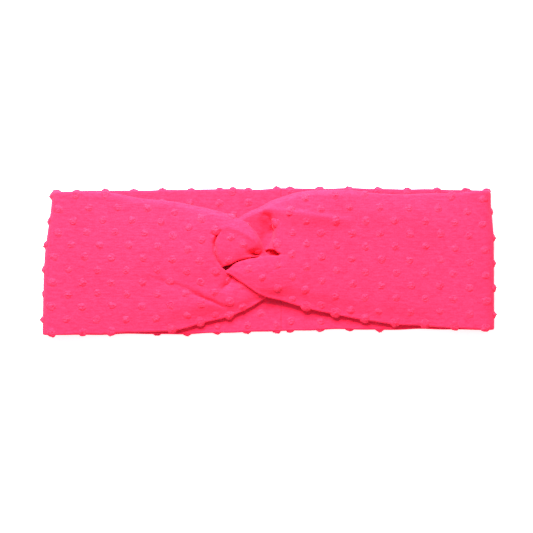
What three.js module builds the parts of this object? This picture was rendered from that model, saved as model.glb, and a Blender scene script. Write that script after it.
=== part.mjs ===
// Twist-front sports headband, lying flat and closed on a table. Millimetres.
// +X runs along the band, +Y points to its upper edge and +Z up from the table, with the origin under its middle.
//
// Two straps of double jersey are sewn together at the centre back. Each runs out to a folded end, comes back over
// the front as a wing, and gathers into a loop. The two loops are hooked through each other: that is the knot.
import * as THREE from "three";

// Cloth
const PLY = 0.7; // one layer of jersey
const PLY_GAP = 1.0; // between a strap's two layers, where the seams' threads lie
const STRAP = 2 * PLY + PLY_GAP;
const CLEARANCE = 0.3; // between pieces that touch

// Band
const HALF_LENGTH = 120;
const HEAD_GAP = 5; // between the front and the back, where the head goes
const FOLD_RADIUS = HEAD_GAP / 2 + STRAP; // outside of a folded end
const SEAM_X = 7; // the centre-back seam

// Knot
const KNOT_X = -11;
const KNOT_Y = 1.4;
const WING_REACH = 19; // from the knot's middle to where each wing gathers into its loop

// Seams
const THREAD_RADIUS = 0.2;
const THREAD_INSET = 0.03; // a long seam's distance from the edge, as a share of the strap's width
const ALLOWANCE_WIDTH = 6;
const ALLOWANCE_HEIGHT = 66;
const SEAM_MIDDLE_Y = 1;

// Resolution
const STRAP_STEPS = 30;
const ACROSS_STEPS = 6;
const LOOP_STEPS = 36;
const LOOP_SIDES = 14;
const THREAD_SIDES = 6;

// A smooth function through points [x, y] in rising x. Between two of them it never leaves their range.
function smooth(points) {
  const slopes = points.slice(1).map(([x, y], i) => (y - points[i][1]) / (x - points[i][0]));
  const tangents = points.map((_, i) => {
    const before = slopes[i - 1] ?? slopes[i];
    const after = slopes[i] ?? before;
    return before * after > 0 ? (2 * before * after) / (before + after) : 0;
  });
  return (x) => {
    const i = Math.max(0, points.slice(0, -1).findLastIndex(([start]) => start <= x));
    const [x0, y0] = points[i];
    const [x1, y1] = points[i + 1];
    const run = x1 - x0;
    const t = THREE.MathUtils.clamp((x - x0) / run, 0, 1);
    const arrived = 3 * t ** 2 - 2 * t ** 3;
    const leaving = t ** 3 - 2 * t ** 2 + t;
    const arriving = t ** 3 - t ** 2;
    return y0 + (y1 - y0) * arrived + run * (leaving * tangents[i] + arriving * tangents[i + 1]);
  };
}

// The long edges of the back, from one folded end to the other.
const backTop = smooth([[-114, 37.6], [-70, 38.2], [36, 39.1], [118, 38.1]]);
const backBottom = smooth([[-120, -39.1], [-44, -38.4], [-3, -37.3], [44, -36.1], [120, -36.2]]);

// Each strap: the side it is on, how far its folded end reaches at the band's two edges, and how far its wing's
// edges draw in from the back's edges on the way to the knot.
const LEFT = {
  side: -1,
  endTop: 114.3,
  endBottom: HALF_LENGTH,
  topDraw: smooth([[-115, 0], [-88, 1.1], [-70, 3.9], [-50, 6.5], [-39, 8.8], [-30, 10.6]]),
  bottomDraw: smooth([[-115, 0], [-55, 0.8], [-36.5, 4.8], [-30, 6.9]]),
};
const RIGHT = {
  side: 1,
  endTop: 118,
  endBottom: HALF_LENGTH,
  topDraw: smooth([[8, 4.4], [16, 2.2], [29, 0.9], [43, 1.3], [54, 2.6], [84, 2.2], [115, 0]]),
  bottomDraw: smooth([[8, 15.4], [20, 11.4], [33, 7.4], [52, 4.1], [70, 2.1], [115, 0]]),
};

// A point of a strap. along goes from 0 at the centre-back seam, over the folded end between 1 and 2, to 3 at the
// knot. across goes from 0 at the lower edge to 1 at the upper. radius is the distance from the fold's axis.
function strapPoint(strap, along, across, radius) {
  const foldX = strap.side * (THREE.MathUtils.lerp(strap.endBottom, strap.endTop, across) - FOLD_RADIUS);
  const seamX = SEAM_X + (strap.side * CLEARANCE) / 2;
  const knotX = KNOT_X + strap.side * WING_REACH;
  const turn = Math.PI * THREE.MathUtils.clamp(along - 1, 0, 1);
  const onWing = Math.max(0, along - 2);
  const flatX = along < 1 ? THREE.MathUtils.lerp(seamX, foldX, along) : THREE.MathUtils.lerp(foldX, knotX, onWing);
  const drawn = along > 1 ? 1 : 0;
  const top = backTop(flatX) - drawn * strap.topDraw(flatX);
  const bottom = backBottom(flatX) + drawn * strap.bottomDraw(flatX);
  return new THREE.Vector3(
    flatX + strap.side * radius * Math.sin(turn),
    THREE.MathUtils.lerp(bottom, top, across),
    FOLD_RADIUS - radius * Math.cos(turn),
  );
}

// The geometry with each vertex moved to where place(x, y, z) puts it.
function shaped(geometry, place) {
  const position = geometry.getAttribute("position");
  for (let i = 0; i < position.count; i++) {
    const moved = place(position.getX(i), position.getY(i), position.getZ(i));
    position.setXYZ(i, moved.x, moved.y, moved.z);
  }
  geometry.computeVertexNormals();
  return geometry;
}

// One layer of a strap, from the centre-back seam to the knot.
function layerGeometry(strap, innerRadius) {
  const sheet = new THREE.BoxGeometry(1, 1, 1, STRAP_STEPS, ACROSS_STEPS, 1);
  return shaped(sheet, (x, y, z) => {
    const along = 3 * (x + 0.5);
    const across = 0.5 - strap.side * y;
    return strapPoint(strap, along, across, innerRadius + PLY * (z + 0.5));
  });
}

// The thread of a strap's long seam, which lies inside its lower edge.
function longSeamGeometry(strap) {
  const middle = HEAD_GAP / 2 + PLY + PLY_GAP / 2;
  const bar = new THREE.CylinderGeometry(THREAD_RADIUS, THREAD_RADIUS, 1, THREAD_SIDES, STRAP_STEPS);
  return shaped(bar, (x, y, z) => {
    const point = strapPoint(strap, 3 * (y + 0.5), THREAD_INSET, middle + z);
    point.y += strap.side * x;
    return point;
  });
}

// The loop's middle line about the knot's middle, with its half width and half thickness. It leaves the wing,
// crosses over the other loop, turns down through it and comes back underneath.
const LOOP = [
  { at: 0, x: -18.1, y: 13.8, z: 8.6, wide: 11.8, thick: 1.1 },
  { at: 0.1, x: -15, y: 13.8, z: 10.1, wide: 9.8, thick: 1.4 },
  { at: 0.25, x: -6, y: 13.2, z: 12.3, wide: 9, thick: 1.8 },
  { at: 0.38, x: 5, y: 11, z: 12.3, wide: 6.4, thick: 2.2 },
  { at: 0.5, x: 11, y: 0, z: 8.7, wide: 3.4, thick: 2.7 },
  { at: 0.62, x: 5, y: -12.2, z: 5.4, wide: 6.4, thick: 2.1 },
  { at: 0.75, x: -6, y: -15.6, z: 5.1, wide: 9, thick: 1.8 },
  { at: 0.9, x: -15, y: -18.4, z: 7.1, wide: 9.8, thick: 1.4 },
  { at: 1, x: -18.1, y: -18.4, z: 8.6, wide: 11.8, thick: 1.1 },
];

function loopGeometry() {
  const [x, y, z, wide, thick] = ["x", "y", "z", "wide", "thick"].map((key) =>
    smooth(LOOP.map((station) => [station.at, station[key]])),
  );
  const middle = (at) => new THREE.Vector3(x(at), y(at), z(at));
  const up = new THREE.Vector3(0, 0, 1);
  const bar = new THREE.CylinderGeometry(1, 1, 1, LOOP_SIDES, LOOP_STEPS);
  return shaped(bar, (across, along, out) => {
    const at = along + 0.5;
    const step = 0.002;
    const tangent = middle(Math.min(1, at + step)).sub(middle(Math.max(0, at - step))).normalize();
    const widthways = new THREE.Vector3().crossVectors(tangent, up).normalize();
    const outwards = new THREE.Vector3().crossVectors(widthways, tangent);
    return middle(at)
      .addScaledVector(widthways, across * wide(at))
      .addScaledVector(outwards, out * thick(at));
  });
}

function fabric(colour) {
  return new THREE.MeshStandardMaterial({ color: colour, roughness: 0.9, metalness: 0 });
}

const jersey = fabric(0xfd4a82);
const thread = fabric(0xf04078);
const headband = new THREE.Group();

function add(name, geometry, material, parent = headband) {
  const mesh = new THREE.Mesh(geometry, material);
  mesh.name = name;
  parent.add(mesh);
  return mesh;
}

for (const [name, strap] of [["left", LEFT], ["right", RIGHT]]) {
  add(`${name}_strap_lining`, layerGeometry(strap, HEAD_GAP / 2), jersey);
  add(`${name}_strap_outer`, layerGeometry(strap, HEAD_GAP / 2 + PLY + PLY_GAP), jersey);
  add(`${name}_long_seam_thread`, longSeamGeometry(strap), thread);
}

const knot = new THREE.Group();
knot.position.set(KNOT_X, KNOT_Y, 0);
headband.add(knot);
add("left_knot_loop", loopGeometry(), jersey, knot);
add("right_knot_loop", loopGeometry(), jersey, knot).rotation.z = Math.PI;

// The straps' ends are turned in between the right strap's layers, beside the seam that joins them.
const allowance = new THREE.BoxGeometry(ALLOWANCE_WIDTH, ALLOWANCE_HEIGHT, PLY_GAP - 2 * CLEARANCE);
const allowanceX = SEAM_X + THREAD_RADIUS + CLEARANCE + ALLOWANCE_WIDTH / 2;
add("centre_back_seam_allowance", allowance, jersey).position.set(allowanceX, SEAM_MIDDLE_Y, PLY + PLY_GAP / 2);

const seamThread = new THREE.CylinderGeometry(THREAD_RADIUS, THREAD_RADIUS, ALLOWANCE_HEIGHT, THREAD_SIDES);
add("centre_back_seam_thread", seamThread, thread).position.set(SEAM_X, SEAM_MIDDLE_Y, PLY + PLY_GAP / 2);

export default headband;
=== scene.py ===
import math

import bmesh
import bpy
import numpy as np
from mathutils import Matrix, Vector


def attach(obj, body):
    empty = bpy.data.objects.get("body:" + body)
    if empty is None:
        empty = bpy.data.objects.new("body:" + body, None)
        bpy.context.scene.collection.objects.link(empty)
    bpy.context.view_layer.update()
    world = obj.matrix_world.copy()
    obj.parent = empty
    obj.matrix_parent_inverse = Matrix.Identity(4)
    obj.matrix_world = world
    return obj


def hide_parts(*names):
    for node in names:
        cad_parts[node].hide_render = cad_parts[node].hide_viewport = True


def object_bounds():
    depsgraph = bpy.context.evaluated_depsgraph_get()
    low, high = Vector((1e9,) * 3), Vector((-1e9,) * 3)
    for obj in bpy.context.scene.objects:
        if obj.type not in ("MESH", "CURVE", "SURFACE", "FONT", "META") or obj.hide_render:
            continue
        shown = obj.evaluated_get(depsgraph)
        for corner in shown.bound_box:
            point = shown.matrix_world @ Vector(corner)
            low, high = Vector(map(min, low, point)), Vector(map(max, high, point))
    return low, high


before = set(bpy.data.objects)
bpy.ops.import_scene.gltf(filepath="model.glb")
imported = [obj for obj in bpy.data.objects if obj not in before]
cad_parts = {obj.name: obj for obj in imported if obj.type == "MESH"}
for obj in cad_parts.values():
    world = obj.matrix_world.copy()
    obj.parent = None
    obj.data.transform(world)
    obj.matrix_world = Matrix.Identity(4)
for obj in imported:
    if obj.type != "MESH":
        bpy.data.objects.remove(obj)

CAD_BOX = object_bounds()
MM = 0.001
FULL_TURN = 2 * math.pi
TINY = 1e-9

# Band
STRAP = 2.4  # a strap's two layers of jersey together
PRESSED = 1.0  # the same where the knot presses it flat
HEAD_GAP = 5.0  # between the front and the back, at the folded ends
FOLD_RADIUS = HEAD_GAP / 2 + STRAP  # outside of a folded end
MIDDLE_RADIUS = HEAD_GAP / 2 + STRAP / 2
HALF_LENGTH = CAD_BOX[1].x / MM
KNOT_X = -11  # the knot's middle
SAG_LENGTH = 0.2  # share of a wing over which it sinks from its folded end towards the back
BACK_TOP = STRAP + 0.1  # no part of the front's lining is lower
LIMIT_SOFTNESS = 0.25  # of the bend where the front is kept from going lower

# Edges
EDGE_ROUNDING = (0.7, 1.5)  # of the lower and the upper edges
SLIT_ROUNDING = 1.0  # of the legs' edges along the slit
BULGE_MARGIN = 5.0  # from a leg's edges, over which its bulge rises

# Unevenness, each as a height and a length
OUTLINE_RIPPLE = (0.5, 30)
FACE_RIPPLE = (0.3, 26)
RIPPLE_WAVES = 7
RIPPLE_SPREAD = (0.6, 1.6)  # of the waves' lengths
PHASES = (0, 6.28)  # of all waves, in radians

# Height fields
PLATE_SLACK = 2.0  # how easily a height field passes by its pins
LEG_BLEND = 0.7  # reach over which the legs' heights flow into each other, per millimetre from the slit
LEG_BLEND_START = 1e-6  # the same reach at the slit's start
X_DECIMALS = 6  # to which an X is compared with the slit's start
WING_START = 2.02  # the value of along from which a wing keeps wholly to its own outline

# Swiss dots: the grid
DOT_PITCH = 15.87  # between two dots of a row, along the cloth
DOT_JITTER = (0.35, 0.25)  # along and across the cloth
DOT_STEPS = 9  # either way from a folded end
DOT_MARGIN = 1.3  # from the cloth's edges
SEAM_MARGIN = 2.5  # from the seam, and from the legs' tips
FOLD_APEX = 1.5  # the value of along at a folded end, from which the dots are counted
ROWS_START = 100  # from the band's middle to where the rows' places across the strap are laid out
ROW_SQUEEZE = 0.15  # the rows draw together towards the knot
ROW_SQUEEZE_REACH = (20, 60)  # from the knot
ROW_LIFT_REACH = (90, 118)  # from the band's middle, over which the rows' lift fades out

# Swiss dots: one dot
DOT_RADIUS = 2.3
DOT_HEIGHT = 0.6
DOT_CROWN = 1.1  # how pointed it is
DOT_WAVES = (2, 3, 5)  # round its outline
DOT_WAVE = 0.16  # how far each wave goes in and out
DOT_NOISE = 0.12  # finer unevenness of its outline
DOT_LUMPS = 34
DOT_LUMP = 0.3  # how far a lump goes up or down
DOT_LUMP_RADII = (0.2, 0.4)
DOT_LUMPED = 0.8  # share of its area that has lumps
DOT_FOOT = 1.2  # how far its mound goes on under the cloth's face, as a share of its radius
DOT_SKIRT = 0.12  # how far its mound's edge dips at its radius
DOT_ROOT = 0.5  # depth of the middle of its underside
DOT_RINGS = 13
DOT_SIDES = 32
DOT_SHAPES = 10
DOT_SIZES = (0.92, 1.08)  # between its smallest and its largest
DOT_HEIGHTS = (0.75, 1.2)
# Its height as a share of DOT_HEIGHT, by the upward part of its direction: flat below, tallest sideways
DOT_STANDING = ([-1, -0.8, 0, 0.8, 1], [0.12, 0.6, 1.7, 1.2, 1.0])

# Swiss dots on the edges
CORNER_DOT = 3.5  # from a folded end to the dot at its upper corner
LOWER_DOTS_REACH = 62  # the back's lower edge shows its dots only between the wings
EDGE_DOT_RISE = 0.25  # the upward part of its outward direction
EDGE_DOT_SQUEEZE = 0.45  # to the thickness of the back's edge
EDGE_DOTS = 6  # along a wing's lower edge
WING_DOT_ROW = 4  # of the mesh, counted from the edge
WING_DOT_AIM = (0, -0.4, 0.9)  # its outward direction
WING_DOT_SQUEEZE = 0.8

# Centre-back seam
SEAM_X = 7.0
SEAM_GAP = 0.015  # between the two straps' ends
STITCH_PITCH = 2.4
STITCH_LENGTH = 0.8 * STITCH_PITCH
STITCH_RADIUS = 0.13
STITCH_SINK = 0.11  # of its middle under the cloth's face
STITCH_JITTER = 0.03  # to either side of the seam
STITCH_BEND = 0.5  # how far its ends dip, as a share of its radius
STITCH_TAPER = 0.96  # how much it narrows at its ends
STITCH_MARGIN = 1.6  # from the back's edges
STITCH_RINGS = 9
STITCH_SIDES = 10

# Cloth: the dye where it is dark and where it is light, the yarn's fineness, and the knit's depth
JERSEY = ((0.88, 0.0145, 0.054), (0.90, 0.030, 0.094), 900, 0.16)
TUFT = ((0.88, 0.0060, 0.036), (0.92, 0.044, 0.116), 1200, 0.10)
THREAD = ((0.84, 0.010, 0.040), (0.88, 0.022, 0.070), 2500, 0.05)
STREAK_STRETCH = 0.28  # the yarn's streaks are long along the band
MOTTLE_FINENESS = 1.6  # against the streaks
DYE_RANGE = (0.72, 1.28)  # of the two noises together, from the dark to the light colour
CLOTH_ROUGHNESS = 0.95
CLOTH_SPECULAR = 0.02
SHEEN = 0.3
SHEEN_ROUGHNESS = 0.5
SHEEN_TINT = (1.0, 0.22, 0.40, 1)
BUMP_STRENGTH = 0.7
NOISE_ROUGHNESS = 0.7
# Direction, scale and strength of the knit's waves. A wave of scale s repeats every 2 pi / 20 s metres.
COURSES = ("Y", 350, 0.3)
WALES = ("X", 290, 0.2)

# Studio, in metres
TABLE_SIZE = 2.0
TABLE_TOP = -0.0002
TABLE_WHITE = 0.93
TABLE_GLOW = 0.6
WORLD_LIGHT = 0.6
KEY_PLACE = (-0.10, 0.45, 0.44)
KEY_SIZE = 0.34
KEY_POWER = 15.4
VIEW_WIDTH = 0.2829
CAMERA_DISTANCE = 1.4
CAMERA_PLACE = (-0.00096, -0.00255, CAMERA_DISTANCE + 0.006)

# Mesh steps
ROWS = 54  # across each half of a strap
ROWS_EVENNESS = 0.25
BACK_STEP = 1.2
FOLD_STEPS = 22
WING_STEP = 0.8
KNOT_STEP = 0.45
MERGE_DISTANCE = 2e-7  # in metres

# Seeds of the random unevenness
RANDOM_SEED = 11
ROW_SEEDS = {"left": 6, "right": 16}
DOT_SHAPE_SEED = 1100
DOT_SEED = 61
STITCH_SEED = 101


# ---------------------------------------------------------------------- curves and fields

def smooth(points):
    """A smooth function through points (x, y) in rising x, which never leaves the range of two neighbours."""
    xs, ys = np.array(points, float).T
    runs = np.diff(xs)
    slopes = np.diff(ys) / runs
    before = np.append(slopes[0], slopes)
    after = np.append(slopes, slopes[-1])
    product = before * after
    total = np.where(product > 0, before + after, 1)
    tangents = np.where(product > 0, 2 * product / total, 0)

    def value(x):
        x = np.asarray(x, float)
        i = np.clip(np.searchsorted(xs, x, side="right") - 1, 0, len(runs) - 1)
        t = np.clip((x - xs[i]) / runs[i], 0, 1)
        arrived = t * t * (3 - 2 * t)
        leaving = t * (1 - t) ** 2
        arriving = t * t * (t - 1)
        step = ys[i + 1] - ys[i]
        return ys[i] + step * arrived + runs[i] * (leaving * tangents[i] + arriving * tangents[i + 1])

    return value


def smoothstep(x, low, high):
    """A soft step from 0 at low to 1 at high."""
    t = np.clip((x - low) / (high - low), 0, 1)
    return t * t * (3 - 2 * t)


def thin_plate(points):
    """The height of a springy sheet pinned at points (x, y, z)."""
    pins = np.array(points, float)
    count = len(pins)

    def kernel(x, y):
        squared = (x[:, None] - pins[:, 0]) ** 2 + (y[:, None] - pins[:, 1]) ** 2
        return 0.5 * squared * np.log(squared + TINY)

    plane = np.column_stack([np.ones(count), pins[:, 0], pins[:, 1]])
    system = np.zeros((count + 3, count + 3))
    system[:count, :count] = kernel(pins[:, 0], pins[:, 1]) + PLATE_SLACK * np.eye(count)
    system[:count, count:] = plane
    system[count:, :count] = plane.T
    weights = np.linalg.solve(system, np.append(pins[:, 2], [0, 0, 0]))

    def height(x, y):
        flat_x = x.ravel()
        flat_y = y.ravel()
        bent = kernel(flat_x, flat_y) @ weights[:count]
        tilted = weights[count] + weights[count + 1] * flat_x + weights[count + 2] * flat_y
        return (bent + tilted).reshape(x.shape)

    return height


def path_distance(x, y, path):
    """Each point's distance from a path of (x, y) corners, and its share of the way along it."""
    corners = np.array(path, float)
    lengths = np.hypot(*np.diff(corners, axis=0).T)
    starts = np.append(0, np.cumsum(lengths))
    best = np.full(x.shape, np.inf)
    share = np.zeros(x.shape)
    for (ax, ay), (bx, by), length, start in zip(corners, corners[1:], lengths, starts):
        if length < TINY:
            continue
        t = np.clip(((x - ax) * (bx - ax) + (y - ay) * (by - ay)) / length ** 2, 0, 1)
        distance = np.hypot(x - ax - t * (bx - ax), y - ay - t * (by - ay))
        nearer = distance < best
        best = np.where(nearer, distance, best)
        share = np.where(nearer, (start + t * length) / starts[-1], share)
    return best, share


def faded(share):
    """1 along most of a path, and 0 at both its ends."""
    return np.sqrt(np.clip(np.sin(math.pi * share), 0, 1))


def crease(x, y, path, depth, width):
    """A sharp valley along a path."""
    distance, share = path_distance(x, y, path)
    return -depth * np.exp(-distance / width) * faded(share)


def ridge(x, y, path, height, width):
    """A rounded ridge along a path."""
    distance, share = path_distance(x, y, path)
    return height * np.exp(-(distance / width) ** 2) * faded(share)


def lip(x, y, path, height, above, below):
    """A ridge along a path of (x, y) in rising x, with the widths of its upper and its lower side."""
    start, end = path[0][0], path[-1][0]
    distance = y - smooth(path)(x)
    share = np.clip((x - start) / (end - start), 0, 1)
    width = np.where(distance > 0, above, below)
    return height * np.exp(-(distance / width) ** 2) * faded(share)


def pit(x, y, centre, radii, depth):
    """A soft hollow about a point."""
    squared = ((x - centre[0]) / radii[0]) ** 2 + ((y - centre[1]) / radii[1]) ** 2
    return -depth * np.exp(-squared)


def ripple(x, y, seed, height, length):
    """A slow unevenness of cloth that has been handled."""
    rng = np.random.default_rng(seed)
    total = np.zeros(np.shape(x))
    for _ in range(RIPPLE_WAVES):
        angle = rng.uniform(0, math.pi)
        turn = FULL_TURN / (length * rng.uniform(*RIPPLE_SPREAD))
        phase = rng.uniform(*PHASES)
        total = total + np.sin(turn * (x * math.cos(angle) + y * math.sin(angle)) + phase)
    return height * total / RIPPLE_WAVES


# ---------------------------------------------------------------------- the two straps

back_top = smooth([(-114, 37.6), (-70, 38.2), (36, 39.1), (118, 38.1)])
back_bottom = smooth([(-120, -39.1), (-44, -38.4), (-3, -37.3), (44, -36.1), (120, -36.2)])

# Each strap, in the CAD's frame, with heights above the table:
# side: -1 on the left, 1 on the right.
# end: how far its folded end reaches from the band's middle, by the share of the way up it.
# tip, slit, knot: the X where its legs end, where the slit between them starts, and where the knot begins.
# tucked: the X past which its legs are hidden under the other strap.
# top, bottom, middle: its front's edges, and the line that the slit is cut on.
# gape_below, gape_above: how far the slit's two sides stand off that line.
# lower_edge, upper_edge: the height to which each edge droops, and how far in from the edge it droops.
# wing, over, under: points (x, y, z) of the upper face, on the wing, on the leg over the other strap and on
#   the leg under it.
# creases, ridges, lips, pits: what is pressed into or raised on the face of the leg named first.
# bulge: where the over-leg is fuller: x, y, extra thickness and radius.
# rows: the dots' rows: how far up the first is, their pitch, their number, and which of them are offset.
# row_lift: how far the rows rise on the front.
# first_edge_dot: how many dots after its folded end the wing's lower edge first shows one.
LEFT = {
    "name": "left",
    "side": -1,
    "end": [(0, HALF_LENGTH), (0.4, 119.4), (0.55, 118.8), (0.77, 116.7), (0.9, 115.3), (1, 114.7)],
    "tip": 4,
    "slit": -24.7,
    "knot": -36,
    "tucked": -3,
    "top": [(-115, 37.5), (-88, 37.0), (-70, 34.3), (-50, 31.9), (-39, 29.7), (-31, 28.4), (-22.8, 25.8),
            (-16.3, 23.1), (-12.6, 21.3), (-9.2, 18.3), (-5.2, 13.3), (-3.2, 8.8), (-1.8, 5.6), (4, 1)],
    "middle": [(-120, -0.7), (-60, -1.4), (-35, -2.8), (-24.7, -2.9), (-22.5, -2.2), (-20.8, -1.7),
               (-18.5, -0.7), (-16.3, 0.4), (-13, 1.3), (-10.5, 1.9), (-7, 2.6), (-5, 2.8), (-3, 2.2),
               (0, 0), (4, -3)],
    "gape_below": [(-24.7, 0), (-23.5, 1.4), (-22, 2.8), (-18, 4), (-10, 3.5), (4, 3)],
    "gape_above": [(-24.7, 0), (4, 0)],
    "bottom": [(-115, -38.9), (-55, -37.1), (-36.5, -33.1), (-18.7, -28.4), (-13, -26.1), (-8.2, -23.7),
               (-4.4, -21.2), (-0.7, -18.5), (4, -12)],
    "lower_edge": ([(-113, 8), (-95, 6.4), (-60, 5.7), (-30, 5.3), (0, 5.3)],
                   [(-113, 12), (-60, 12), (-30, 10), (-10, 6), (0, 3)]),
    "upper_edge": ([(-113, 8), (-95, 6.5), (-40, 6.6), (-22, 8.6), (-15, 10.4), (-9, 11.2), (-4, 10.6),
                    (-1, 8.2), (4, 6.2)],
                   [(-113, 3), (-30, 3), (-15, 2.4), (4, 2)]),
    "wing": [(-113, -36, 8.0), (-113, 0, 8.0), (-113, 36, 8.0), (-100, -36, 7.1), (-100, -18, 7.0),
             (-100, 0, 7.6), (-100, 18, 7.3), (-100, 36, 7.3), (-80, 34, 7.1), (-80, 15, 7.8),
             (-80, 0, 7.7), (-80, -16, 7.0), (-80, -35, 6.5), (-60, 31, 7.3), (-60, 15, 8.1),
             (-60, 3, 8.2), (-60, -9, 7.3), (-60, -22, 7.2), (-60, -35, 6.5), (-45, 29, 8.0),
             (-45, 15, 9.2), (-45, 3, 9.3), (-45, -12, 8.1), (-45, -22, 8.0), (-45, -33, 6.6),
             (-34, 28, 9.1), (-34, 20, 10.7), (-34, 8, 10.8), (-34, -3, 10.4), (-34, -12, 9.1),
             (-34, -24, 8.0), (-34, -31, 6.6), (-25.5, -3.2, 9.5)],
    "over": [(-29, 27, 9.6), (-29, 20.5, 11.0), (-30.5, 10, 10.8), (-29.5, 2, 10.6), (-26, -1, 10.1),
             (-22.8, 25, 10.2), (-22, 18.5, 12.0), (-22, 12, 12.2), (-22.5, 5, 11.8), (-21.5, 0.5, 10.9),
             (-16.3, 22.5, 11.0), (-16.3, 16.2, 12.7), (-16, 10, 12.6), (-16, 4.5, 12.0),
             (-16, 1.4, 10.9), (-9.2, 17.5, 11.4), (-10.5, 12.5, 12.6), (-10.5, 7, 12.0),
             (-10.5, 2.8, 10.7), (-5.2, 12.5, 11.0), (-5.8, 8.5, 11.3), (-7, 4.8, 9.9), (-2.8, 7.5, 8.8),
             (-4, 3.5, 8.4), (-1, 3, 7.3), (2, 1, 6.6), (2, -6, 6.5), (4, -3, 6.4)],
    "under": [(-29, -8, 9.6), (-27, -16, 9.1), (-25, -25, 7.8), (-24, -6, 8.8), (-20, -6, 7.3),
              (-18, -9, 7.3), (-20, -13, 8.0), (-14, -13, 7.6), (-18.7, -27.5, 6.6), (-16, -20, 7.4),
              (-13, -24.5, 6.5), (-8, -19, 6.4), (-8, -22, 5.6), (-4.4, -19, 5.6), (-8, -10, 7.0),
              (-12, -4, 6.6), (0, -14, 6.4), (2, -6, 6.5), (4, -10, 6.4), (2, 1, 6.6)],
    "creases": [
        ("over", [(-31, 14.8), (-28, 14.7), (-26, 15.6)], 1.6, 0.5),
        ("over", [(-24.6, 16.8), (-27, 14.6), (-28.6, 10), (-28.1, 4), (-26.8, 0.4), (-24.2, -3.2)],
         4.6, 0.55),
        ("under", [(-19, -5.5), (-21.2, -11), (-25, -15.2)], 3.4, 1.6),
        ("under", [(-64, -8), (-47, -12.8), (-40, -16.4), (-34, -19.2)], 1.0, 2.6),
        ("under", [(-42, -15.8), (-35, -19.1), (-29, -21.3), (-23, -24.2), (-22.4, -22.6)], 2.1, 0.6),
    ],
    "ridges": [
        ("over", [(-27, 16.6), (-21, 18.4), (-16.3, 17), (-10, 13.4), (-5, 9.4)], 0.8, 1.5),
        ("under", [(-68, -5), (-50, -10), (-38, -14.6), (-30, -18.6)], 0.5, 1.6),
    ],
    "lips": [],
    "pits": [("over", (-7.2, 4.4), (2.9, 1.5), 4.6)],
    "bulge": (-17, 9, 1.6, 8.5),
    "rows": (34.7, 6.53, 12, 1),
    "row_lift": 0.6,
    "first_edge_dot": 4,
}
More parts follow.
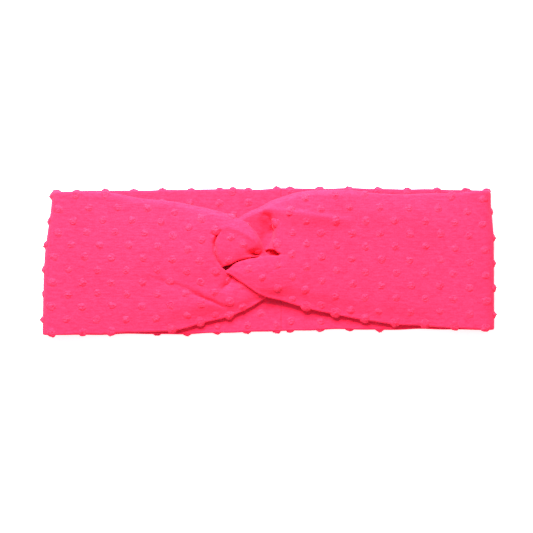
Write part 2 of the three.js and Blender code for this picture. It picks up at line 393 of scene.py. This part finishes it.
RIGHT = {
    "name": "right",
    "side": 1,
    "end": [(0, HALF_LENGTH), (0.65, 119.8), (0.8, 118.9), (0.9, 118.3), (1, 118.2)],
    "tip": -26,
    "slit": 6.5,
    "knot": 18,
    "tucked": -17,
    "top": [(-26, 9), (-22, 16), (-18, 21), (-14.6, 23.9), (-10.5, 26.4), (-4.4, 29.2), (1.7, 32.6),
            (10, 35.2), (15.6, 36.8), (29, 38.2), (43, 37.8), (54, 36.6), (70, 35.9), (97, 36.4),
            (116, 38.1)],
    "middle": [(-26, -5), (-23.5, -4.9), (-20.8, -3.5), (-18.5, -1.3), (-16.3, -0.1), (-13, 0.85),
               (-10.5, 1.45), (-5.2, 2.3), (-2.3, 3.0), (1.7, 3.4), (5, 3.2), (6.5, 4.0), (20, 3),
               (60, 1), (120, 0.9)],
    "gape_below": [(-26, 0), (6.5, 0)],
    "gape_above": [(-26, 5), (-23, 4.5), (-20, 3.5), (-16.3, 3), (-10.5, 2.4), (-5, 2.0), (-1.6, 2.6),
                   (0.1, 3.2), (3, 2.9), (4.8, 1.7), (6.5, 0)],
    "bottom": [(-26, -6.2), (-23.5, -6.2), (-21.5, -6.4), (-19.1, -7.7), (-16.3, -10), (-10.5, -13.7),
               (-5.2, -17), (-0.7, -18.7), (5.7, -20.5), (14, -23.0), (19.6, -24.4), (33, -27.8),
               (51.7, -31.2), (70.4, -33.4), (97, -35.2), (120, -35.9)],
    "lower_edge": ([(-20, 9.8), (-14, 10.1), (-8, 9.4), (-1, 8.3), (4, 7.3), (8, 6.9), (14, 6.5),
                    (30, 6.0), (60, 5.5), (95, 6.4), (113, 8)],
                   [(-20, 2), (-8, 3), (0, 5), (14, 10), (113, 12)]),
    "upper_edge": ([(-20, 6.5), (-8, 6.8), (10, 6.8), (60, 6.5), (95, 6.5), (113, 8)],
                   [(-20, 3), (113, 3)]),
    "wing": [(113, -34, 8.0), (113, 0, 8.0), (113, 36, 8.0), (100, -34, 7.1), (100, -18, 7.3),
             (100, 0, 7.3), (100, 22, 8.0), (100, 36, 6.5), (80, 27, 8.2), (80, 35, 6.4), (80, 15, 7.9),
             (80, 0, 7.3), (80, -15, 7.3), (80, -33, 6.5), (60, 35, 6.6), (60, 29, 8.1), (60, 20, 8.0),
             (60, 0, 7.6), (60, -15, 7.3), (60, -31, 6.5), (40, 36, 8.3), (38, 21, 9.3), (40, 10, 8.6),
             (40, -5, 8.4), (40, -18, 7.7), (40, -28.5, 6.6), (25, 37, 8.8), (22, 24.5, 10.9),
             (20, 19, 10.8), (25, 12, 9.8), (25, 0, 9.8), (25, -12, 8.9), (25, -24, 7.3), (14, 17, 10.4),
             (12, 8, 10.6), (7, 4.4, 10.4)],
    "over": [(12, -2, 10.6), (12, -12, 9.6), (12, -20, 8.0), (5.5, -2, 11.4), (5, -9, 10.9),
             (5, -16, 9.5), (5, -20, 8.1), (0, 1.4, 11.2), (0, -5, 11.6), (0, -11, 10.8),
             (-0.7, -17.4, 9.2), (-6, 0.4, 11.0), (-6, -5, 11.6), (-6, -11, 10.7), (-5.2, -15.8, 9.7),
             (-12, -1.2, 10.7), (-12, -6, 11.1), (-12, -11.4, 10.0), (-16.5, -2.4, 10.1),
             (-16.5, -6, 10.4), (-16.8, -8.8, 9.6), (-20.4, -4.6, 8.9), (-20, -6.2, 8.8),
             (-23.5, -5.6, 7.4), (-25, 3, 6.6)],
    "under": [(7.1, 27, 10.7), (10, 34, 8.9), (1.7, 31.6, 8.9), (-4.4, 28.2, 9.3), (-1.5, 27, 10.3),
              (-10.5, 25, 8.6), (-14.6, 22.8, 7.9), (4.4, 20, 10.4), (1, 20, 8.0), (-4, 21, 7.4),
              (-8, 22, 7.8), (4.4, 14, 10.2), (0.8, 14, 6.6), (-2.5, 16, 6.8), (11, 14, 10.4),
              (-8, 17, 6.5), (-14, 12, 7.0), (-20, 6, 6.6), (-23.5, -0.5, 6.5), (-25, 5, 6.5),
              (-2.5, 9, 5.6), (2, 9, 8.9), (6, 8, 10.4), (-8, 6, 6.6), (-16, 4, 6.5)],
    "creases": [
        ("under", [(-3, 25.4), (0.6, 24), (2, 20), (2, 14), (0, 8), (-1, 3)], 3.0, 1.2),
        ("under", [(2, 19), (0.4, 13), (-1.2, 8), (-1.6, 3)], 2.4, 1.3),
        ("over", [(7.2, 4), (7, 1.2), (4, -3.6), (-1, -7)], 0.5, 0.6),
        ("under", [(84, 33), (92, 31.5), (99, 28), (104, 22)], 0.5, 1.2),
    ],
    "ridges": [
        ("under", [(80, 33), (90, 32.5), (97, 29.5), (103, 24)], 0.4, 1.2),
    ],
    "lips": [("under", [(-6, 26.6), (1, 28.2), (6, 27.8), (13, 26.8), (22, 25.4), (46, 22)], 1.5, 0.7, 4)],
    "pits": [("under", (-1.4, 15.5), (2.8, 6.5), 2.2), ("under", (-3.5, 25.2), (2.2, 2.2), 0.3),
             ("under", (-7, 5), (4, 3), 2.4)],
    "bulge": (-3, -6, 1.4, 9),
    "rows": (33.3, 6.82, 11, 0),
    "row_lift": 1.9,
    "first_edge_dot": 1,
}


def eased_shares(count):
    """Shares from 0 to 1, closer together at both ends."""
    even = np.linspace(0, 1, count + 1)
    return ROWS_EVENNESS * even + (1 - ROWS_EVENNESS) * (0.5 - 0.5 * np.cos(math.pi * even))


def column_steps(strap):
    """Values of along: 0 to 1 over the back, to 2 round the folded end, to 3 at the legs' tip."""
    fold_x = strap["side"] * (float(smooth(strap["end"])(0.5)) - FOLD_RADIUS)
    back = np.linspace(0, 1, round(abs(fold_x - SEAM_X) / BACK_STEP), endpoint=False)
    fold = np.linspace(1, 2, FOLD_STEPS, endpoint=False)
    wing = []
    stations = (fold_x, strap["knot"], strap["slit"], strap["tip"])
    for start, end, step in zip(stations, stations[1:], (WING_STEP, KNOT_STEP, KNOT_STEP)):
        count = round(abs(end - start) / step)
        wing += np.linspace(start, end, count, endpoint=False).tolist()
    wing_shares = (np.array(wing) - fold_x) / (strap["tip"] - fold_x)
    return np.concatenate([back, fold, 2 + wing_shares, [3]])


def past_slit(strap, x):
    """How far each x lies from the slit's start on the wing's side; negative beside the slit."""
    return np.round(strap["side"] * (x - strap["slit"]), X_DECIMALS)


def over_share(strap, x, y, upper_half):
    """How far a point belongs to the over-leg: 0 or 1 beside the slit, and blended on the wing."""
    away = past_slit(strap, x)
    reach = LEG_BLEND * np.maximum(away, 0) + LEG_BLEND_START
    blended = smoothstep(y - smooth(strap["middle"])(x), -reach, reach)
    upper_share = np.where(away >= 0, blended, upper_half)
    return upper_share if strap["side"] < 0 else 1 - upper_share


def wing_height(strap, x, y, upper_half):
    """Height of the upper face of a strap's front, on one side of the line that the slit is cut on."""
    over = thin_plate(strap["wing"] + strap["over"])(x, y)
    under = thin_plate(strap["wing"] + strap["under"])(x, y)
    for key, shape in (("creases", crease), ("ridges", ridge), ("lips", lip), ("pits", pit)):
        for leg, *details in strap[key]:
            change = shape(x, y, *details)
            if leg == "over":
                over = over + change
            else:
                under = under + change
    return under + (over - under) * over_share(strap, x, y, upper_half)


def half_plan(strap, along, upper_half):
    """One half of a strap seen from above: X and Y of its points, and the Y of its edge beside each."""
    side = strap["side"]
    share = eased_shares(ROWS)[None, :]
    across = 0.5 * (share + upper_half)
    fold_x = side * (smooth(strap["end"])(across) - FOLD_RADIUS)
    seam_x = SEAM_X + side * SEAM_GAP / 2
    a = along[:, None]
    back_x = seam_x + (fold_x - seam_x) * np.clip(a, 0, 1)
    front_x = fold_x + (strap["tip"] - fold_x) * np.clip(a - 2, 0, 1)
    x = np.where(a < 1, back_x, front_x)

    front = smoothstep(a, 1, WING_START) + 0 * x
    slit = smooth(strap["middle"])(x)
    gape = smooth(strap["gape_above"])(x) if upper_half else -smooth(strap["gape_below"])(x)
    slit = slit + np.where(past_slit(strap, x) <= 0, gape, 0)
    middle = 0.5 * (back_top(x) + back_bottom(x))
    middle = middle + (slit - middle) * front
    edge = back_top(x) if upper_half else back_bottom(x)
    edge = edge + (smooth(strap["top" if upper_half else "bottom"])(x) - edge) * front
    edge = edge + ripple(x, edge, RANDOM_SEED + upper_half, *OUTLINE_RIPPLE)
    y = middle + (edge - middle) * share if upper_half else edge + (middle - edge) * share
    return x, y, edge


def edge_distances(strap, along, x, y, edge, upper_half):
    """How far each point of half a strap lies from its long edge, and on the front from the slit."""
    wing = along > 2
    border, cut = (-1, 0) if upper_half else (0, -1)
    beside_slit = wing & (past_slit(strap, x[:, cut]) <= 0)
    border_path = np.column_stack([x[wing, border], y[wing, border]])
    slit_path = np.column_stack([x[beside_slit, cut], y[beside_slit, cut]])
    from_border = np.abs(edge - y)
    from_border[wing] = np.minimum(from_border[wing], path_distance(x[wing], y[wing], border_path)[0])
    from_slit = np.full(y.shape, np.inf)
    from_slit[wing] = path_distance(x[wing], y[wing], slit_path)[0]
    return from_border, from_slit


def front_height(strap, x, y, edge, upper_half):
    """Height of the upper face of half a strap's front, with its drooping edge, kept clear of the back."""
    height = wing_height(strap, x, y, upper_half)
    height = height + ripple(x, y, RANDOM_SEED + strap["side"], *FACE_RIPPLE)
    edge_z, droop_width = (smooth(line)(x) for line in strap["upper_edge" if upper_half else "lower_edge"])
    droop = 1 - smoothstep(np.abs(y - edge), 0, droop_width)
    height = height + (np.minimum(edge_z, height) - height) * droop
    lowest = BACK_TOP + PRESSED
    return 0.5 * (height + lowest + np.hypot(height - lowest, LIMIT_SOFTNESS))


def over_bulge(strap, x, y, upper_half):
    """Extra thickness of the over-leg."""
    bulge_x, bulge_y, height, radius = strap["bulge"]
    bulge = height * np.exp(-((x - bulge_x) ** 2 + (y - bulge_y) ** 2) / radius ** 2)
    return bulge * over_share(strap, x, y, upper_half)


def half_surface(strap, along, upper_half):
    """One half of a strap across its width: the points of its outer face and of its lining."""
    side = strap["side"]
    a = along[:, None]
    x, y, edge = half_plan(strap, along, upper_half)
    from_border, from_slit = edge_distances(strap, along, x, y, edge, upper_half)
    height = front_height(strap, x, y, edge, upper_half)
    bulge = np.where(a > 2, over_bulge(strap, x, y, upper_half), 0)
    thickness = STRAP + bulge * smoothstep(np.minimum(from_border, from_slit), 0, BULGE_MARGIN)
    thickness = np.where(a > 2, np.minimum(thickness, height - BACK_TOP), thickness)
    rounding = np.minimum(from_border / EDGE_ROUNDING[upper_half], from_slit / SLIT_ROUNDING)
    rounding = np.clip(rounding, 0, 1)
    half_thickness = 0.5 * thickness * np.sqrt(1 - (1 - rounding) ** 2)

    turn = math.pi * np.clip(a - 1, 0, 1)
    outwards = np.stack([side * np.sin(turn) + 0 * x, 0 * x, -np.cos(turn) + 0 * x], axis=-1)
    flat_height = FOLD_RADIUS + MIDDLE_RADIUS
    rise = (height - 0.5 * thickness - flat_height) * smoothstep(a - 2, 0, SAG_LENGTH)
    base = np.stack([x, y, FOLD_RADIUS + rise], axis=-1)
    outer = base + outwards * (MIDDLE_RADIUS + half_thickness)[..., None]
    lining = base + outwards * (MIDDLE_RADIUS - half_thickness)[..., None]
    return outer, lining


def strap_surfaces(strap):
    """A strap's outer face and lining as grids of points, with the values of along of their columns."""
    along = column_steps(strap)
    lower = half_surface(strap, along, 0)
    upper = half_surface(strap, along, 1)
    outer, lining = (np.concatenate(pair, axis=1) for pair in zip(lower, upper))
    return along, outer, lining


def grid_faces(columns, rows, offset, skip_row):
    """Four-cornered faces of a grid of points, leaving out the strip after skip_row."""
    index = offset + np.arange(columns * rows).reshape(columns, rows)
    low = [i for i in range(rows - 1) if i != skip_row]
    high = [i + 1 for i in low]
    before = index[:-1]
    after = index[1:]
    corners = [before[:, low], after[:, low], after[:, high], before[:, high]]
    return np.stack(corners, axis=-1).reshape(-1, 4).tolist()


def make_object(name, points, faces, material, merge=0.0):
    """An object of points in millimetres. Points closer than merge, in metres, become one."""
    mesh = bpy.data.meshes.new(name)
    mesh.from_pydata((np.asarray(points) * MM).tolist(), [], faces)
    if merge:
        work = bmesh.new()
        work.from_mesh(mesh)
        bmesh.ops.remove_doubles(work, verts=work.verts, dist=merge)
        bmesh.ops.recalc_face_normals(work, faces=work.faces)
        work.to_mesh(mesh)
        work.free()
    mesh.shade_smooth()
    mesh.materials.append(material)
    made = bpy.data.objects.new(name, mesh)
    bpy.context.scene.collection.objects.link(made)
    return made


def make_strap(strap, outer, lining, material):
    """A strap's closed mesh: its two faces, joined along their edges and closed at both their ends."""
    columns, rows = outer.shape[:2]
    count = columns * rows
    points = np.concatenate([outer.reshape(-1, 3), lining.reshape(-1, 3)])
    faces = grid_faces(columns, rows, 0, ROWS) + grid_faces(columns, rows, count, ROWS)
    for column in (0, columns - 1):
        start = column * rows
        for i in range(start, start + rows - 1):
            if i - start != ROWS:
                faces.append([i, i + 1, i + 1 + count, i + count])
    return make_object(f"{strap['name']}_strap", points, faces, material, merge=MERGE_DISTANCE)


# ---------------------------------------------------------------------- the dots

def dot_shape(seed):
    """A clipped tuft of yarn: a low lumpy mound, closed underneath, as points and faces about its foot."""
    rng = np.random.default_rng(seed)
    angles = np.linspace(0, FULL_TURN, DOT_SIDES, endpoint=False)
    waves = 0
    for count in DOT_WAVES:
        size = rng.uniform(-DOT_WAVE, DOT_WAVE)
        waves = waves + size * np.cos(count * angles + rng.uniform(*PHASES))
    outline = DOT_RADIUS + waves + rng.uniform(-DOT_NOISE, DOT_NOISE, DOT_SIDES)
    shares = np.linspace(0, DOT_FOOT, DOT_RINGS + 1)[1:, None]
    xs = shares * outline * np.cos(angles)
    ys = shares * outline * np.sin(angles)
    height = DOT_HEIGHT * np.maximum(1 - shares ** 2, 0) ** DOT_CROWN + 0 * xs
    for _ in range(DOT_LUMPS):
        radius = DOT_RADIUS * math.sqrt(rng.uniform(0, DOT_LUMPED))
        angle = rng.uniform(0, FULL_TURN)
        distance = np.hypot(xs - radius * math.cos(angle), ys - radius * math.sin(angle))
        lump_height = rng.uniform(-DOT_LUMP, DOT_LUMP)
        lump = lump_height * np.exp(-(distance / rng.uniform(*DOT_LUMP_RADII)) ** 2)
        height = height + lump * np.maximum(1 - shares ** 3, 0)
    height = height - DOT_SKIRT * shares ** 6
    crown = (0, 0, height[0].mean())
    root = (0, 0, -DOT_ROOT)
    rings = np.stack([xs, ys, height], axis=-1).reshape(-1, 3)
    points = np.concatenate([[crown], rings, [root]])
    faces = [[0, 1 + i, 1 + (i + 1) % DOT_SIDES] for i in range(DOT_SIDES)]
    for ring in range(DOT_RINGS - 1):
        start = 1 + ring * DOT_SIDES
        for i in range(DOT_SIDES):
            after = (i + 1) % DOT_SIDES
            faces.append([start + i, start + DOT_SIDES + i, start + DOT_SIDES + after, start + after])
    last = 1 + (DOT_RINGS - 1) * DOT_SIDES
    faces += [[last + i, len(points) - 1, last + (i + 1) % DOT_SIDES] for i in range(DOT_SIDES)]
    return points, faces


def sampled(grid, column, row):
    """A grid's value between its points, at a fractional column and row."""
    i = int(min(column, grid.shape[0] - 2))
    j = int(min(row, grid.shape[1] - 2))
    s = column - i
    t = row - j
    low = grid[i, j] * (1 - s) + grid[i + 1, j] * s
    high = grid[i, j + 1] * (1 - s) + grid[i + 1, j + 1] * s
    return low * (1 - t) + high * t


def face_normals(grid, flip):
    """The directions that a grid's face looks in. The slit's two sides aren't neighbours."""
    along = np.gradient(grid, axis=0)
    across = np.gradient(grid, axis=1)
    across[:, ROWS] = across[:, ROWS - 1]
    across[:, ROWS + 1] = across[:, ROWS + 2]
    normals = np.cross(along, across) * flip
    return normals / (np.linalg.norm(normals, axis=-1, keepdims=True) + TINY)


def hidden(strap, x):
    """True where a strap's legs are tucked away under the other strap."""
    return strap["side"] * (x - strap["tucked"]) < 0


def in_pit(strap, x, y):
    """True in one of a strap's hollows."""
    for _, centre, radii, _ in strap["pits"]:
        if math.hypot((x - centre[0]) / radii[0], (y - centre[1]) / radii[1]) < 1:
            return True
    return False


def dot_place(strap, grid, normals, column, on_front, offset):
    """A dot's foot, outward direction and squeeze, or None where there is none.

    Its row lies offset above the line that the slit is cut on.
    """
    x = float(sampled(grid, column, ROWS // 2)[0])
    if on_front and hidden(strap, x):
        return None
    middle = smooth(strap["middle"])
    y = float(middle(strap["side"] * ROWS_START)) + offset
    if on_front:
        lift = strap["row_lift"] * float(1 - smoothstep(abs(x), *ROW_LIFT_REACH))
        near_knot = float(1 - smoothstep(abs(x - KNOT_X), *ROW_SQUEEZE_REACH))
        y = float(middle(x)) + (1 - ROW_SQUEEZE * near_knot) * offset + lift
    if on_front and in_pit(strap, x, y):
        return None
    ys = np.array([sampled(grid, column, i)[1] for i in range(grid.shape[1])])
    borders = [ys[0], ys[-1]]
    if on_front and past_slit(strap, x) < DOT_RADIUS:
        borders += [ys[ROWS], ys[ROWS + 1]]
    inside = ys[0] < y < ys[-1] and not ys[ROWS] < y < ys[ROWS + 1]
    row = float(np.interp(y, ys, np.arange(len(ys))))
    normal = sampled(normals, column, row)
    margin = DOT_MARGIN if normal[2] > 0 else DOT_RADIUS
    if not inside or min(abs(y - border) for border in borders) < margin:
        return None
    if on_front:
        normal = normal + (0, 0, math.copysign(1, normal[2]))
    return sampled(grid, column, row), normal, 1.0


def column_at(lengths, length):
    """The fractional column that lies length along the cloth."""
    return float(np.interp(length, lengths, np.arange(len(lengths))))


def face_dots(strap, grid, normals, along, lengths, shift, rng):
    """The dots of one face of a strap: rows along the band, every other one offset by half a pitch."""
    top_row, row_pitch, row_count, half_parity = strap["rows"]
    start_middle = float(smooth(strap["middle"])(strap["side"] * ROWS_START))
    apex = np.interp(FOLD_APEX, along, lengths)
    places = []
    for row in range(-1, row_count + 1):
        phase = 0.5 if row % 2 == half_parity else 0.0
        for step in range(-DOT_STEPS, DOT_STEPS + 1):
            length = apex + (step + phase) * DOT_PITCH + rng.normal(0, DOT_JITTER[0])
            offset = top_row - (row + shift) * row_pitch - start_middle + rng.normal(0, DOT_JITTER[1])
            if not SEAM_MARGIN < length < lengths[-1] - SEAM_MARGIN:
                continue
            column = column_at(lengths, length)
            place = dot_place(strap, grid, normals, column, along[int(column)] > 2, offset)
            if place:
                places.append(place)
    return places


def edge_dots(strap, outer, along, lengths):
    """The dots on the back's two long edges, at the upper corner and on the wing's lower edge."""
    apex = np.interp(FOLD_APEX, along, lengths)
    last_row = outer.shape[1] - 1
    places = []
    for row, out_y, reach in ((0, -1, LOWER_DOTS_REACH), (last_row, 1, HALF_LENGTH)):
        for step in range(-DOT_STEPS, 0):
            length = apex + step * DOT_PITCH
            point = sampled(outer, column_at(lengths, length), row)
            if length > SEAM_MARGIN and abs(point[0]) < reach:
                places.append((point, np.array([0, out_y, EDGE_DOT_RISE]), EDGE_DOT_SQUEEZE))
    corner = sampled(outer, column_at(lengths, apex - CORNER_DOT), last_row)
    places.append((corner, np.array([0, 1, EDGE_DOT_RISE]), EDGE_DOT_SQUEEZE))
    for step in range(strap["first_edge_dot"], EDGE_DOTS + 1):
        column = column_at(lengths, apex + (step + 0.5) * DOT_PITCH)
        point = sampled(outer, column, WING_DOT_ROW)
        places.append((point, np.array(WING_DOT_AIM), WING_DOT_SQUEEZE))
    return places


def dot_places(strap, along, outer, lining):
    """A strap's dots as (point, outward direction, squeeze in Z)."""
    middle_row = outer[:, ROWS // 2]
    lengths = np.append(0, np.cumsum(np.linalg.norm(np.diff(middle_row, axis=0), axis=1)))
    rng = np.random.default_rng(ROW_SEEDS[strap["name"]])
    places = []
    for grid, flip, shift in ((outer, -strap["side"], 0), (lining, strap["side"], 0.5)):
        places += face_dots(strap, grid, face_normals(grid, flip), along, lengths, shift, rng)
    return places + edge_dots(strap, outer, along, lengths)


def make_dots(strap, places, material):
    """All of a strap's dots as one object. Each is one of a few shapes, turned and sized at random."""
    shapes = [dot_shape(DOT_SHAPE_SEED + i) for i in range(DOT_SHAPES)]
    rng = np.random.default_rng(DOT_SEED + strap["side"])
    points = []
    faces = []
    count = 0
    for point, normal, squeeze in places:
        local, local_faces = shapes[rng.integers(DOT_SHAPES)]
        aim = Vector(normal).to_track_quat("Z", "X").to_matrix()
        spin = Matrix.Rotation(rng.uniform(0, FULL_TURN), 3, "Z")
        standing = np.interp(normal[2] / np.linalg.norm(normal), *DOT_STANDING)
        standing = standing * rng.uniform(*DOT_HEIGHTS)
        shaped = local * (1, 1, standing) * rng.uniform(*DOT_SIZES)
        turned = shaped @ np.array(aim @ spin).T
        points.append(turned * (1, 1, squeeze) + point)
        faces += [[count + i for i in face] for face in local_faces]
        count += len(local)
    return make_object(f"{strap['name']}_strap_dots", np.concatenate(points), faces, material)


# ---------------------------------------------------------------------- the centre-back seam

def stitch_points(length, radius):
    """A short rounded stitch lying along Y."""
    rings = np.linspace(-1, 1, STITCH_RINGS)
    angles = np.linspace(0, FULL_TURN, STITCH_SIDES, endpoint=False)
    reach = radius * np.sqrt(1 - STITCH_TAPER * np.abs(rings) ** 3)
    lift = -STITCH_BEND * radius * rings ** 2
    points = []
    for ring, r, z in zip(rings, reach, lift):
        for t in angles:
            points.append((r * math.cos(t), 0.5 * length * ring, r * math.sin(t) + z))
    faces = []
    for ring in range(STITCH_RINGS - 1):
        for i in range(STITCH_SIDES):
            after = (i + 1) % STITCH_SIDES
            start = ring * STITCH_SIDES
            faces.append([start + i, start + STITCH_SIDES + i, start + STITCH_SIDES + after, start + after])
    last = (STITCH_RINGS - 1) * STITCH_SIDES
    faces.append(list(range(STITCH_SIDES)))
    faces.append([last + i for i in reversed(range(STITCH_SIDES))])
    return np.array(points), faces


def make_seam(material):
    """The line of stitches that joins the two straps at the centre back, seen on both faces of the band."""
    rng = np.random.default_rng(STITCH_SEED)
    low = float(back_bottom(SEAM_X)) + STITCH_MARGIN
    high = float(back_top(SEAM_X)) - STITCH_MARGIN
    count = round((high - low) / STITCH_PITCH)
    local, local_faces = stitch_points(STITCH_LENGTH, STITCH_RADIUS)
    points = []
    faces = []
    for z in (STITCH_SINK, STRAP - STITCH_SINK):
        for i in range(count):
            y = low + (i + 0.5) * (high - low) / count
            faces += [[len(points) * len(local) + k for k in face] for face in local_faces]
            points.append(local + (SEAM_X + rng.normal(0, STITCH_JITTER), y, z))
    return make_object("centre_back_seam", np.concatenate(points), faces, material)


# ---------------------------------------------------------------------- materials

def new_material(name):
    """A new material, with its nodes, its links and its shader."""
    material = bpy.data.materials.new(name)
    material.use_nodes = True
    nodes = material.node_tree.nodes
    return material, nodes, material.node_tree.links, nodes["Principled BSDF"]


def add_node(nodes, kind, **inputs):
    """A new node with its inputs set. An underscore in an input's name stands for a space."""
    node = nodes.new(kind)
    for name, value in inputs.items():
        node.inputs[name.replace("_", " ")].default_value = value
    return node


def jersey_material(name, dark, light, grain, bump_height):
    """Matt knitted cloth: fine courses and wales, streaks along the courses, and slightly uneven dye."""
    material, nodes, links, shader = new_material(name)
    place = nodes.new("ShaderNodeTexCoord").outputs["Object"]
    stretched = add_node(nodes, "ShaderNodeMapping")
    stretched.inputs["Scale"].default_value = (STREAK_STRETCH, 1, 1)
    links.new(place, stretched.inputs["Vector"])
    streaks = add_node(nodes, "ShaderNodeTexNoise", Scale=grain, Detail=3, Roughness=NOISE_ROUGHNESS)
    links.new(stretched.outputs["Vector"], streaks.inputs["Vector"])
    mottle = add_node(nodes, "ShaderNodeTexNoise", Scale=MOTTLE_FINENESS * grain, Detail=4)
    mottle.inputs["Roughness"].default_value = NOISE_ROUGHNESS
    links.new(place, mottle.inputs["Vector"])
    mixed = nodes.new("ShaderNodeMath")
    mixed.operation = "ADD"
    links.new(streaks.outputs["Fac"], mixed.inputs[0])
    links.new(mottle.outputs["Fac"], mixed.inputs[1])
    contrast = add_node(nodes, "ShaderNodeMapRange")
    contrast.inputs["From Min"].default_value = DYE_RANGE[0]
    contrast.inputs["From Max"].default_value = DYE_RANGE[1]
    links.new(mixed.outputs[0], contrast.inputs["Value"])
    blend = nodes.new("ShaderNodeMix")
    blend.data_type = "RGBA"
    blend.inputs["A"].default_value = (*dark, 1)
    blend.inputs["B"].default_value = (*light, 1)
    links.new(contrast.outputs["Result"], blend.inputs["Factor"])
    links.new(blend.outputs["Result"], shader.inputs["Base Color"])
    shader.inputs["Roughness"].default_value = CLOTH_ROUGHNESS
    shader.inputs["Specular IOR Level"].default_value = CLOTH_SPECULAR
    shader.inputs["Sheen Weight"].default_value = SHEEN
    shader.inputs["Sheen Roughness"].default_value = SHEEN_ROUGHNESS
    shader.inputs["Sheen Tint"].default_value = SHEEN_TINT

    height = mixed.outputs[0]
    for direction, scale, strength in (COURSES, WALES):
        waves = add_node(nodes, "ShaderNodeTexWave", Scale=scale, Distortion=6, Detail=3, Detail_Scale=3)
        waves.wave_type = "BANDS"
        waves.bands_direction = direction
        links.new(place, waves.inputs["Vector"])
        scaled = nodes.new("ShaderNodeMath")
        scaled.operation = "MULTIPLY_ADD"
        scaled.inputs[1].default_value = strength
        links.new(waves.outputs["Fac"], scaled.inputs[0])
        links.new(height, scaled.inputs[2])
        height = scaled.outputs[0]
    bump = add_node(nodes, "ShaderNodeBump", Strength=BUMP_STRENGTH, Distance=bump_height * MM)
    links.new(height, bump.inputs["Height"])
    links.new(bump.outputs["Normal"], shader.inputs["Normal"])
    return material


def table_material():
    """Plain white, glowing a little, so that it stays white in the picture."""
    material, _, _, shader = new_material("white_table")
    shader.inputs["Base Color"].default_value = (TABLE_WHITE, TABLE_WHITE, TABLE_WHITE, 1)
    shader.inputs["Roughness"].default_value = 1.0
    shader.inputs["Emission Color"].default_value = (1, 1, 1, 1)
    shader.inputs["Emission Strength"].default_value = TABLE_GLOW
    return material


# ---------------------------------------------------------------------- the studio

def make_table():
    bpy.ops.mesh.primitive_plane_add(size=TABLE_SIZE, location=(0, 0, TABLE_TOP))
    table = bpy.context.object
    table.name = "table"
    table.data.materials.append(table_material())


def make_light(name, place, size, power):
    """A square area light that is aimed at the origin."""
    lamp = bpy.data.lights.new(name, "AREA")
    lamp.size = size
    lamp.energy = power
    light = bpy.data.objects.new(name, lamp)
    light.location = place
    light.rotation_euler = (-Vector(place)).to_track_quat("-Z", "Y").to_euler()
    bpy.context.scene.collection.objects.link(light)


def make_studio():
    """Soft white light from all sides, one key light from behind, and the camera straight above."""
    scene = bpy.context.scene
    scene.view_settings.view_transform = "Standard"
    world = bpy.data.worlds.new("soft_white")
    world.use_nodes = True
    background = world.node_tree.nodes["Background"]
    background.inputs["Color"].default_value = (1, 1, 1, 1)
    background.inputs["Strength"].default_value = WORLD_LIGHT
    scene.world = world
    make_table()
    make_light("key", KEY_PLACE, KEY_SIZE, KEY_POWER)

    camera_data = bpy.data.cameras.new("camera")
    camera = bpy.data.objects.new("camera", camera_data)
    camera_data.lens = camera_data.sensor_width * CAMERA_DISTANCE / VIEW_WIDTH
    camera.location = CAMERA_PLACE
    scene.collection.objects.link(camera)
    scene.camera = camera


make_studio()
jersey = jersey_material("dotted_jersey", *JERSEY)
tuft = jersey_material("tufted_dot", *TUFT)
thread = jersey_material("seam_thread", *THREAD)

for strap in (LEFT, RIGHT):
    name = strap["name"]
    along, outer, lining = strap_surfaces(strap)
    cloth = make_strap(strap, outer, lining, jersey)
    dots = make_dots(strap, dot_places(strap, along, outer, lining), tuft)
    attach(cloth, "root")
    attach(dots, "root")
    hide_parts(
        f"{name}_strap_outer", f"{name}_strap_lining", f"{name}_knot_loop", f"{name}_long_seam_thread"
    )

seam = make_seam(thread)
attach(seam, "root")
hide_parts("centre_back_seam_allowance", "centre_back_seam_thread")
